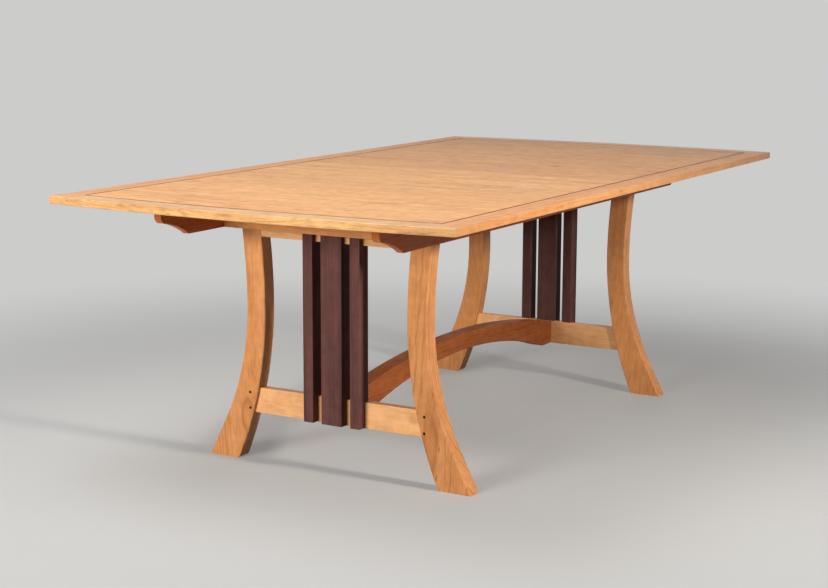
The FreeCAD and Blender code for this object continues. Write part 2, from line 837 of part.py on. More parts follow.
def make_borders(seam_groove):
    """The border boards, with their outer arrises eased and their corners mitred."""
    outer_x, outer_y = end_corner(ZERO)
    inner_x, inner_y = end_corner(size.border_width)
    past_x = (outer_x - inner_x) * MITRE_OVERRUN_SHARE
    past_y = (outer_y - inner_y) * MITRE_OVERRUN_SHARE
    far_x, far_y = outer_x + past_x, outer_y + past_y
    near_x, near_y = inner_x - past_x, inner_y - past_y
    span = (underside - size.top_thickness, size.table_height + size.top_thickness)
    end_sides = [(near_x, -near_y), (far_x, -far_y), (far_x, far_y), (near_x, near_y)]
    end_limits = board("end_border_limits", "XY_Plane", span, end_sides)
    back_sides = [(ZERO, near_y), (near_x, near_y), (far_x, far_y), (ZERO, far_y)]
    back_limits = board("back_border_limits", "XY_Plane", span, back_sides)
    sweep = half_width / end_radius * math.degrees(END_SWEEP_SHARE)
    end_section = border_section(end_radius - size.border_width, end_radius)
    end_blank = bent_board("end_border_blank", end_section, end_centre, sweep)
    back_blank = board("back_border_blank", "YZ_Plane", (seam_face, far_x), border_section(inner_y, outer_y))
    keep_both_ends("end_border", common("right_end_border", end_blank, end_limits))
    back = common("back_border_mitred", back_blank, back_limits)
    keep_four("border", cut("right_back_border", back, [seam_groove]))


def make_inlay(seam_groove):
    """The dark line between border and field; returns the right half's strips."""
    outer = size.border_width
    inner = size.border_width + size.inlay_width
    outer_x, outer_y = end_corner(outer)
    inner_x, inner_y = end_corner(inner)
    span = (size.table_height - size.inlay_depth, size.table_height)
    end_corners = [(outer_x, -outer_y), (outer_x, outer_y), (inner_x, inner_y), (inner_x, -inner_y)]
    end_arcs = {0: (end_radius - outer, "left"), 2: (end_radius - inner, "right")}
    end = board("end_inlay_strip", "XY_Plane", span, end_corners, end_arcs)
    back_corners = [(seam_face, inner_y), (inner_x, inner_y), (outer_x, outer_y), (seam_face, outer_y)]
    back = board("back_inlay_strip", "XY_Plane", span, back_corners)
    keep_both_ends("end_inlay", end)
    keep_four("inlay", cut("right_back_inlay", back, [seam_groove]))
    return [end, back, mirrored("front_inlay_strip", back, "y")]


def pin_places():
    """The places of the seam pins across the table."""
    outer = half_width - size.pin_edge
    inner = outer - size.pin_step
    return [-outer, -inner, inner, outer]


def pin_holes(name, diameter, depth):
    """The holes for the seam pins in the right half's edge."""
    holes = []
    for number, place in enumerate(pin_places()):
        centre = {"y": place, "z": pin_height}
        holes.append(rod(f"{name}_{number}", "x", (ZERO, depth), centre, diameter))
    return holes


def make_fields(seam_groove, inlay_strips):
    """The field panels, rebated for the inlay and bored for screws and seam pins."""
    corner_x, corner_y = end_corner(size.border_width)
    corners = [(seam_face, -corner_y), (corner_x, -corner_y), (corner_x, corner_y), (seam_face, corner_y)]
    arcs = {1: (end_radius - size.border_width, "left")}
    panel = board("field_panel", "XY_Plane", (underside, size.table_height), corners, arcs)
    hole = size.screw_diameter + size.screw_fit
    tools = [seam_groove]
    for number, (along, across) in enumerate(top_screw_spots()):
        centre = {"x": along, "y": across}
        tools.append(rod(f"field_screw_hole_{number}", "z", (underside, top_screw_tip), centre, hole))
    rebated = cut("rebated_field", panel, inlay_strips)
    blank = cut("field_blank", rebated, tools)
    depth = size.pin_length / 2
    glued = pin_holes("pin_hole", size.pin_diameter + size.tenon_fit, depth)
    keep("right_field", cut("right_field", blank, glued))
    sockets = pin_holes("pin_socket", size.pin_diameter + size.pin_fit * 2, depth + size.pin_end_gap)
    keep("left_field", mirrored("left_field", cut("left_field_image", blank, sockets), "x"))


def make_seam_pins():
    """The pins that line the two halves up, set in the right half's edge."""
    half = size.pin_length / 2
    pins = []
    for number, place in enumerate(pin_places()):
        centre = {"y": place, "z": pin_height}
        pins.append(rod(f"seam_pin_{number}", "x", (-half, half), centre, size.pin_diameter))
    keep("seam_pins", group("seam_pins", pins))


# The whole table
def build_table():
    """Make every piece of the table."""
    leg_blank = make_leg_blank()
    make_legs(leg_blank)
    make_rails(leg_blank)
    make_leg_pegs()
    make_slats()
    make_stretcher()
    make_runners()
    make_bearers()
    make_cross_boards()
    make_battens()
    make_top_screws()
    seam_groove = make_seam_groove()
    make_borders(seam_groove)
    inlay_strips = make_inlay(seam_groove)
    make_fields(seam_groove, inlay_strips)
    make_seam_pins()
    doc.recompute()


def check_table():
    """Stop if any object failed or any piece isn't a sound solid."""
    failed = [item.Name for item in doc.Objects if {"Invalid", "Error"} & set(item.State)]
    if failed:
        raise RuntimeError(f"objects that failed: {failed}")
    for piece in nodes:
        if piece.Shape.isNull() or not piece.Shape.isValid() or not piece.Shape.Solids:
            raise RuntimeError(f"{piece.Label} isn't a sound solid")


def write_table():
    """Write each piece to its own file."""
    os.makedirs("parts", exist_ok=True)
    for piece in nodes:
        piece.Shape.exportStep(f"parts/{piece.Label}.step")


build_table()
check_table()
write_table()
print(f"{len(nodes)} nodes, {sum(len(piece.Shape.Solids) for piece in nodes)} solids")
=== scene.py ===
"""Looks of the trestle dining table: wood for its solids, a pale floor, soft light and the camera.

Lengths are in metres. X runs along the table, Y across it and Z up, from the floor under its middle.
Left and right are the two short ends, front and back the two long sides.
"""

from __future__ import annotations

import json
import logging
import math
from dataclasses import dataclass, field, replace
from enum import Enum, StrEnum
from typing import Union

import bmesh
import bpy
from mathutils import Color, Matrix, Vector

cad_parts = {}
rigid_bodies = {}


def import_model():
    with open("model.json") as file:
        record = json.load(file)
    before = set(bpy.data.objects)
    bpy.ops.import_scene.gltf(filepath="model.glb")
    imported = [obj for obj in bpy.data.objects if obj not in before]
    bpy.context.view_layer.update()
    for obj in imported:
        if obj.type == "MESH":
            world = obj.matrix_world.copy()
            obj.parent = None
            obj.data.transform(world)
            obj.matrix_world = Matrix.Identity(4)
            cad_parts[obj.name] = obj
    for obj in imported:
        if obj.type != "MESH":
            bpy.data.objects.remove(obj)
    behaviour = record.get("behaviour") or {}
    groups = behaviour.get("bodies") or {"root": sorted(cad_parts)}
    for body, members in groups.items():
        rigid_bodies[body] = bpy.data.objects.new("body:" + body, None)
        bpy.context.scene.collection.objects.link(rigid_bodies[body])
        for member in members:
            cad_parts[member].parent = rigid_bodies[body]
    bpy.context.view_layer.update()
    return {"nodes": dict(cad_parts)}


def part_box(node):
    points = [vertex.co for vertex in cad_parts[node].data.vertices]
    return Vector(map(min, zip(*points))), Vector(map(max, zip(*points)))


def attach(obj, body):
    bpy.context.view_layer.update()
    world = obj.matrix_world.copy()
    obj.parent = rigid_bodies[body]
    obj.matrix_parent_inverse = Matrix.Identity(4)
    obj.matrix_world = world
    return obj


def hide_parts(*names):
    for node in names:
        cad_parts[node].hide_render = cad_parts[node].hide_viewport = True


logging.basicConfig(level=logging.INFO, format="%(message)s")
log = logging.getLogger("trestle_table")

FULL_LEVEL = 255
HALF = 0.5
ACROSS_LOG = (1.0, 1.0, 0.0)

# Sockets of the mix node, which has several of the same name
MIX_SHARE = 0
MIX_FIRST = 6
MIX_SECOND = 7
MIX_RESULT = 2

Colour = tuple[float, float, float, float]
Triple = tuple[float, float, float]
Pair = tuple[float, float]
Socket = bpy.types.NodeSocket
Feed = Union[Socket, float, tuple]
Feeds = dict[Union[str, int], Feed]


def paint(red: float, green: float, blue: float) -> Colour:
    """Turn a colour as it is seen on a screen into the linear colour that shaders take.

    Args:
        red: The red share, from 0 to 255.
        green: The green share, from 0 to 255.
        blue: The blue share, from 0 to 255.

    Returns:
        The linear colour with a full alpha.
    """
    seen = Color((red / FULL_LEVEL, green / FULL_LEVEL, blue / FULL_LEVEL))
    return (*seen.from_srgb_to_scene_linear(), 1.0)


class End(StrEnum):
    """The table's two short ends."""

    LEFT = "left"
    RIGHT = "right"


class Side(StrEnum):
    """The table's two long sides."""

    FRONT = "front"
    BACK = "back"


class Grain(Enum):
    """Which way a piece's grain runs, as the axes of its width, thickness and length."""

    ALONG = ("Y", "Z", "X")
    ACROSS = ("X", "Z", "Y")
    UPRIGHT = ("Y", "X", "Z")


@dataclass(frozen=True)
class WoodFinish:
    """The colours, figure and polish of one kind of wood.

    Ring width, waver and taper shape the growth rings. A depth says how strongly a mark shows, from
    nought to one.
    """

    pale: Colour
    mid: Colour
    deep: Colour
    ring_width: float = 0.008
    waver: float = 0.014
    taper: float = 0.018
    knots: float = 0.6
    late_depth: float = 0.4
    streak_depth: float = 0.3
    fleck_depth: float = 0.5
    mottle_depth: float = 0.1
    roughness: float = 0.42
    specular: float = 0.25
    coat: float = 0.05
    coat_roughness: float = 0.25

    def feeds(self) -> Feeds:
        """Gather what the group of solid wood takes from a finish.

        Returns:
            The values by the names of the group's inputs.
        """
        return {
            "Ring Width": self.ring_width, "Waver": self.waver, "Taper": self.taper, "Knots": self.knots,
            "Pale": self.pale, "Mid": self.mid, "Deep": self.deep, "Late Depth": self.late_depth,
            "Streak Depth": self.streak_depth, "Fleck Depth": self.fleck_depth,
            "Mottle Depth": self.mottle_depth, "Roughness": self.roughness,
        }


@dataclass(frozen=True)
class MetalFinish:
    """The colour and polish of a bare metal, with its clouds and turning marks to the metre."""

    light: Colour
    dark: Colour
    smooth: float = 0.27
    rough: float = 0.45
    clouds: Triple = (400.0, 400.0, 400.0)
    cloud_detail: float = 3.0
    marks: Triple = (300.0, 300.0, 6000.0)
    mark_detail: float = 2.0
    mark_levels: Pair = (0.3, 0.7)


@dataclass(frozen=True)
class Cut:
    """Which wood a piece is made of, and how it was sawn from its log.

    The pith is where the log's middle lies from the piece's middle, across its width and through its
    thickness. Lean tips the grain in the plane of the width, in degrees. A board width above nought
    glues the piece up from boards side by side. The seed picks a place in the log, and the tone makes
    the piece paler or darker than its kind; on some pieces the tone is painted light or painted shade.
    """

    finish: WoodFinish
    grain: Grain
    pith: Pair = (0.03, 0.09)
    lean: float = 0.0
    board_width: float = 0.0
    seed: float = 0.0
    tone: float = 0.0


@dataclass(frozen=True)
class Cloud:
    """Cloudy noise in a log, eased from nought at its low level to one at its high level.

    The counts are clouds to the metre across the width, through the thickness and along the length.
    """

    counts: Triple
    detail: float
    low: float
    high: float


class Graph:
    """A node tree that is being filled."""

    def __init__(self, tree: bpy.types.NodeTree) -> None:
        """Keep the tree to fill."""
        self.tree = tree

    def add(self, kind: str, feeds: Feeds | None = None, **settings: object) -> bpy.types.Node:
        """Add a node, set its options and feed its inputs.

        Args:
            kind: The node's type name.
            feeds: What goes into each input, a socket or a plain value.
            **settings: Options to set on the node.

        Returns:
            The new node.
        """
        node = self.tree.nodes.new(kind)
        for name, value in settings.items():
            setattr(node, name, value)
        for key, feed in (feeds or {}).items():
            self.feed(node.inputs[key], feed)
        return node

    def feed(self, socket: Socket, feed: Feed) -> None:
        """Link a socket to an input, or set a plain value on it.

        Args:
            socket: The input.
            feed: The socket to link, or the plain value.
        """
        if isinstance(feed, Socket):
            self.tree.links.new(feed, socket)
        else:
            socket.default_value = feed

    def place_group(self, tree: bpy.types.NodeTree, feeds: Feeds) -> bpy.types.NodeOutputs:
        """Place a shared group and return its outputs."""
        return self.add("ShaderNodeGroup", feeds, node_tree=tree).outputs

    def reckon(self, operation: str, first: Feed, second: Feed = 0.0) -> Socket:
        """Work out one operation on one or two values."""
        return self.add("ShaderNodeMath", {0: first, 1: second}, operation=operation).outputs[0]

    def plus(self, first: Feed, second: Feed) -> Socket:
        """Add two values."""
        return self.reckon("ADD", first, second)

    def minus(self, first: Feed, second: Feed) -> Socket:
        """Take the second value from the first."""
        return self.reckon("SUBTRACT", first, second)

    def times(self, first: Feed, second: Feed) -> Socket:
        """Multiply two values."""
        return self.reckon("MULTIPLY", first, second)

    def reckon_vector(self, operation: str, first: Feed, second: Feed) -> Socket:
        """Work out one operation on two vectors."""
        return self.add("ShaderNodeVectorMath", {0: first, 1: second}, operation=operation).outputs[0]

    def scaled(self, vector: Feed, factor: Feed) -> Socket:
        """Stretch a vector evenly."""
        feeds = {0: vector, "Scale": factor}
        return self.add("ShaderNodeVectorMath", feeds, operation="SCALE").outputs[0]

    def length(self, vector: Feed) -> Socket:
        """Measure a vector."""
        return self.add("ShaderNodeVectorMath", {0: vector}, operation="LENGTH").outputs["Value"]

    def parts(self, vector: Feed) -> bpy.types.NodeOutputs:
        """Split a vector into its X, Y and Z."""
        return self.add("ShaderNodeSeparateXYZ", {0: vector}).outputs

    def ramp(self, value: Feed, low: float, high: float, start: float = 0.0, end: float = 1.0) -> Socket:
        """Ease a value from start to end as it goes from low to high."""
        feeds = {"Value": value, "From Min": low, "From Max": high, "To Min": start, "To Max": end}
        return self.add("ShaderNodeMapRange", feeds, interpolation_type="SMOOTHSTEP").outputs[0]

    def fade(self, value: Feed, low: float, high: float) -> Socket:
        """Ease a value from one to nought as it goes from low to high."""
        return self.ramp(value, low, high, 1.0, 0.0)

    def blend(self, share: Feed, first: Feed, second: Feed, how: str = "MIX") -> Socket:
        """Mix two colours."""
        feeds = {MIX_SHARE: share, MIX_FIRST: first, MIX_SECOND: second}
        return self.add("ShaderNodeMix", feeds, data_type="RGBA", blend_type=how).outputs[MIX_RESULT]

    def noise(self, place: Feed, counts: Triple, detail: float) -> bpy.types.NodeOutputs:
        """Make cloudy noise, with so many clouds to the metre on each axis."""
        feeds = {"Vector": self.reckon_vector("MULTIPLY", place, counts), "Scale": 1.0, "Detail": detail}
        return self.add("ShaderNodeTexNoise", feeds).outputs

    def cloud(self, place: Feed, cloud: Cloud) -> Socket:
        """Make one kind of cloud."""
        return self.ramp(self.noise(place, cloud.counts, cloud.detail)["Fac"], cloud.low, cloud.high)

    def spots(self, place: Feed, counts: Triple, commonness: float) -> tuple[Socket, Socket]:
        """Scatter spots.

        Args:
            place: The place in the log.
            counts: Cells to the metre on each axis.
            commonness: The share of cells that hold a spot.

        Returns:
            The distance from the cell's spot, and one where the cell holds a spot or nought where not.
        """
        cell = self.reckon_vector("MULTIPLY", place, counts)
        cells = self.add("ShaderNodeTexVoronoi", {"Vector": cell, "Scale": 1.0}).outputs
        chance = self.add("ShaderNodeSeparateColor", {0: cells["Color"]}).outputs[0]
        return cells["Distance"], self.reckon("LESS_THAN", chance, commonness)

    def line_noise(self, place: Feed) -> Socket:
        """Make smooth noise along a line."""
        feeds = {"W": place, "Scale": 1.0, "Detail": 1.0}
        return self.add("ShaderNodeTexNoise", feeds, noise_dimensions="1D").outputs[0]

    def chance(self, place: Feed) -> bpy.types.NodeOutputs:
        """Make a chance number and colour for each whole number."""
        return self.add("ShaderNodeTexWhiteNoise", {"W": place}, noise_dimensions="1D").outputs


class GroupMaker:
    """Makes one shader node group with named inputs and outputs."""

    name = "group"
    takes: dict[str, str] = {}
    gives: dict[str, str] = {}

    def make(self) -> bpy.types.NodeTree:
        """Make the group's tree.

        Returns:
            The finished node tree.
        """
        tree = bpy.data.node_groups.new(self.name, "ShaderNodeTree")
        for label, kind in self.takes.items():
            tree.interface.new_socket(label, in_out="INPUT", socket_type=f"NodeSocket{kind}")
        for label, kind in self.gives.items():
            tree.interface.new_socket(label, in_out="OUTPUT", socket_type=f"NodeSocket{kind}")
        graph = Graph(tree)
        inputs = graph.add("NodeGroupInput").outputs
        graph.add("NodeGroupOutput", self.fill(graph, inputs))
        return tree

    def fill(self, graph: Graph, inputs: bpy.types.NodeOutputs) -> Feeds:
        """Add the group's nodes; each kind of group does this in its own way."""
        raise NotImplementedError


@dataclass(frozen=True)
class RingFigure(GroupMaker):
    """Growth rings round a log's pith, which lies on the vector's third axis, pushed aside by pin knots.

    Bends and knot cells are counted to the metre on each axis. The late wood is the dark end of a ring,
    which stands for a year, and a pace counts noise by the year.
    """

    name = "ring_figure"
    takes = {"Vector": "Vector", "Ring Width": "Float", "Waver": "Float", "Taper": "Float", "Knots": "Float"}
    gives = {"Late": "Float", "Band": "Float", "Knot": "Float", "Vector": "Vector"}

    slow_bends: Triple = (3.0, 3.0, 1.1)
    slow_reach: float = 2.4
    quick_bends: Triple = (22.0, 22.0, 13.0)
    quick_reach: float = 0.5
    bend_detail: float = 1.0
    knot_cells: Triple = (8.0, 8.0, 2.8)
    knot_commonness: float = 0.5
    knot_heart: Pair = (0.015, 0.05)
    knot_reach: float = 0.42
    knot_push: Triple = (0.018, 0.012, 0.0)
    uneven_pace: float = 0.4
    uneven_years: float = 1.8
    faintest_year: float = 0.1
    late_rise: Pair = (0.58, 0.93)
    late_stop: Pair = (0.88, 1.0)
    band_pace: float = 0.23

    def fill(self, graph: Graph, inputs: bpy.types.NodeOutputs) -> Feeds:
        """Bend the log a little, measure out from its pith and count the rings.

        Args:
            graph: The group's nodes.
            inputs: What the group takes.

        Returns:
            What the group gives.
        """
        place = inputs["Vector"]
        slow = self.bend(graph, place, self.slow_bends, self.slow_reach)
        quick = self.bend(graph, place, self.quick_bends, self.quick_reach)
        bend = graph.scaled(graph.reckon_vector("ADD", slow, quick), inputs["Waver"])
        distance, held = graph.spots(place, self.knot_cells, self.knot_commonness)
        present = graph.times(held, inputs["Knots"])
        push = graph.times(graph.fade(distance, 0.0, self.knot_reach), present)
        aside = graph.scaled(self.knot_push, push)
        bent = graph.reckon_vector("ADD", graph.reckon_vector("ADD", place, bend), aside)
        radius = graph.length(graph.reckon_vector("MULTIPLY", bent, ACROSS_LOG))
        coned = graph.plus(radius, graph.times(graph.parts(place)["Z"], inputs["Taper"]))
        even = graph.reckon("DIVIDE", coned, inputs["Ring Width"])
        uneven = graph.times(graph.line_noise(graph.times(even, self.uneven_pace)), self.uneven_years)
        years = graph.plus(even, uneven)
        band = graph.line_noise(graph.times(years, self.band_pace))
        knot = graph.times(graph.fade(distance, *self.knot_heart), present)
        return {"Late": self.late_wood(graph, years), "Band": band, "Knot": knot, "Vector": bent}

    def bend(self, graph: Graph, place: Feed, counts: Triple, reach: float) -> Socket:
        """Make cloudy noise that pushes a place any way, as far as it reaches."""
        noise = graph.noise(place, counts, self.bend_detail)["Color"]
        return graph.scaled(graph.reckon_vector("SUBTRACT", noise, (HALF, HALF, HALF)), reach)

    def late_wood(self, graph: Graph, years: Socket) -> Socket:
        """Draw the dark late wood at the end of each ring, stronger in some years than in others.

        Args:
            graph: The group's nodes.
            years: The count of rings from the pith.

        Returns:
            How much late wood there is, from nought to one.
        """
        season = graph.reckon("FRACT", years)
        luck = graph.chance(graph.reckon("FLOOR", years))["Value"]
        strength = graph.ramp(luck, 0.0, 1.0, self.faintest_year, 1.0)
        peak = graph.times(graph.ramp(season, *self.late_rise), graph.fade(season, *self.late_stop))
        return graph.times(peak, strength)


@dataclass(frozen=True)
class FibreFigure(GroupMaker):
    """Fine figure along the grain: streaks, pores, gum flecks and a faint mottle across it."""

    name = "fibre_figure"
    takes = {"Vector": "Vector"}
    gives = {"Streak": "Float", "Broad": "Float", "Pore": "Float", "Fleck": "Float", "Mottle": "Float"}

    thin: Cloud = Cloud((210.0, 210.0, 17.0), 3.0, 0.48, 0.66)
    thick: Cloud = Cloud((58.0, 58.0, 8.0), 3.0, 0.47, 0.7)
    short: Cloud = Cloud((64.0, 64.0, 26.0), 2.0, 0.53, 0.68)
    thin_share: float = 0.5
    thick_share: float = 0.35
    short_share: float = 0.3
    broad: Cloud = Cloud((24.0, 24.0, 2.4), 2.0, 0.32, 0.68)
    pore: Cloud = Cloud((1500.0, 1500.0, 70.0), 1.0, 0.6, 0.72)
    mottle: Cloud = Cloud((22.0, 22.0, 34.0), 1.5, 0.3, 0.7)
    fleck_cells: Triple = (60.0, 60.0, 14.0)
    fleck_commonness: float = 0.16
    fleck_edge: Pair = (0.07, 0.17)

    def fill(self, graph: Graph, inputs: bpy.types.NodeOutputs) -> Feeds:
        """Stretch several kinds of noise along the grain.

        Args:
            graph: The group's nodes.
            inputs: What the group takes.

        Returns:
            What the group gives.
        """
        place = inputs["Vector"]
        thin = graph.times(graph.cloud(place, self.thin), self.thin_share)
        thick = graph.times(graph.cloud(place, self.thick), self.thick_share)
        short = graph.times(graph.cloud(place, self.short), self.short_share)
        distance, held = graph.spots(place, self.fleck_cells, self.fleck_commonness)
        return {
            "Streak": graph.plus(graph.plus(thin, thick), short),
            "Broad": graph.cloud(place, self.broad),
            "Pore": graph.cloud(place, self.pore),
            "Fleck": graph.times(graph.fade(distance, *self.fleck_edge), held),
            "Mottle": graph.cloud(place, self.mottle),
        }


@dataclass(frozen=True)
class BoardLayup(GroupMaker):
    """Boards glued side by side, of uneven width, each from another place in the log."""

    name = "board_layup"
    takes = {"Vector": "Vector", "Board Width": "Float", "Seed": "Float"}
    gives = {"Vector": "Vector", "Tone": "Float", "Joint": "Float"}

    uneven_pace: float = 2.3
    uneven_share: float = 0.18
    log_spread: Triple = (0.5, 0.16, 3.0)
    joint_edge: Pair = (0.494, 0.5)

    def fill(self, graph: Graph, inputs: bpy.types.NodeOutputs) -> Feeds:
        """Count the boards across the width and give each its own log, tone and joint.

        Args:
            graph: The group's nodes.
            inputs: What the group takes.

        Returns:
            What the group gives.
        """
        count = graph.reckon("DIVIDE", graph.parts(inputs["Vector"])["X"], inputs["Board Width"])
        wave = graph.reckon("SINE", graph.times(count, self.uneven_pace))
        uneven = graph.plus(count, graph.times(wave, self.uneven_share))
        board = graph.plus(uneven, inputs["Seed"])
        luck = graph.chance(graph.reckon("FLOOR", board))
        spread = graph.reckon_vector("MULTIPLY", luck["Color"], self.log_spread)
        moved = graph.reckon_vector("ADD", inputs["Vector"], spread)
        from_middle = graph.reckon("ABSOLUTE", graph.minus(graph.reckon("FRACT", board), HALF))
        joint = graph.ramp(from_middle, *self.joint_edge)
        return {"Vector": moved, "Tone": luck["Value"], "Joint": joint}


@dataclass(frozen=True)
class SolidWood(GroupMaker):
    """Wood right through a piece: its colour, roughness and height from rings and fibres.

    A dull value says how much a mark roughens the surface. A hollow value says how deep a mark lies, as
    a part of a pore's depth.
    """

    name = "solid_wood"
    takes = {
        **RingFigure.takes, "Pale": "Color", "Mid": "Color", "Deep": "Color", "Late Depth": "Float",
        "Streak Depth": "Float", "Fleck Depth": "Float", "Mottle Depth": "Float", "Tone": "Float",
        "Roughness": "Float", "End Grain": "Float",
    }
    gives = {"Color": "Color", "Roughness": "Float", "Height": "Float"}

    rings: bpy.types.NodeTree
    fibres: bpy.types.NodeTree
    band_share: float = 0.5
    broad_share: float = 0.5
    pore_share: float = 0.8
    mark_tint: Colour = (0.45, 0.36, 0.3, 1.0)
    end_depth: float = 0.45
    late_dull: float = 0.06
    streak_dull: float = 0.07
    end_dull: float = 0.15
    shine_polish: float = 0.3
    streak_hollow: float = 0.35
    late_hollow: float = 0.2

    def fill(self, graph: Graph, inputs: bpy.types.NodeOutputs) -> Feeds:
        """Draw rings and fibres, and take colour, roughness and height from them.

        Args:
            graph: The group's nodes.
            inputs: What the group takes.

        Returns:
            What the group gives.
        """
        rings = graph.place_group(self.rings, {label: inputs[label] for label in RingFigure.takes})
        fibres = graph.place_group(self.fibres, {"Vector": rings["Vector"]})
        shine = graph.times(graph.minus(fibres["Mottle"], HALF), inputs["Mottle Depth"])
        late, streak = rings["Late"], fibres["Streak"]
        dull = graph.plus(graph.times(late, self.late_dull), graph.times(streak, self.streak_dull))
        dull = graph.plus(dull, graph.times(inputs["End Grain"], self.end_dull))
        dull = graph.minus(dull, graph.times(shine, self.shine_polish))
        hollow = graph.plus(fibres["Pore"], graph.times(streak, self.streak_hollow))
        hollow = graph.plus(hollow, graph.times(late, self.late_hollow))
        return {
            "Color": self.colour(graph, inputs, rings, fibres, shine),
            "Roughness": graph.plus(inputs["Roughness"], dull),
            "Height": graph.minus(1.0, hollow),
        }

    def colour(
        self,
        graph: Graph,
        inputs: bpy.types.NodeOutputs,
        rings: bpy.types.NodeOutputs,
        fibres: bpy.types.NodeOutputs,
        shine: Socket,
    ) -> Socket:
        """Lay rings, streaks, pores, flecks, darker end grain and mottle over the wood's colours.

        Args:
            graph: The group's nodes.
            inputs: What the group takes.
            rings: What the rings give.
            fibres: What the fibres give.
            shine: The mottle, about nought.

        Returns:
            The wood's colour.
        """
        deep, streaks = inputs["Deep"], inputs["Streak Depth"]
        band = graph.times(rings["Band"], self.band_share)
        cloud = graph.plus(band, graph.times(fibres["Broad"], self.broad_share))
        colour = graph.blend(cloud, inputs["Mid"], inputs["Pale"])
        colour = graph.blend(graph.times(rings["Late"], inputs["Late Depth"]), colour, deep)
        colour = graph.blend(graph.times(fibres["Streak"], streaks), colour, deep)
        pores = graph.times(fibres["Pore"], graph.times(streaks, self.pore_share))
        colour = graph.blend(pores, colour, deep)
        marks = graph.reckon("MAXIMUM", fibres["Fleck"], rings["Knot"])
        dark = graph.blend(1.0, deep, self.mark_tint, "MULTIPLY")
        colour = graph.blend(graph.times(marks, inputs["Fleck Depth"]), colour, dark)
        colour = graph.blend(graph.times(inputs["End Grain"], self.end_depth), colour, deep)
        level = graph.plus(graph.plus(shine, inputs["Tone"]), 1.0)
        grey = graph.add("ShaderNodeCombineColor", {0: level, 1: level, 2: level}).outputs[0]
        return graph.blend(1.0, colour, grey, "MULTIPLY")


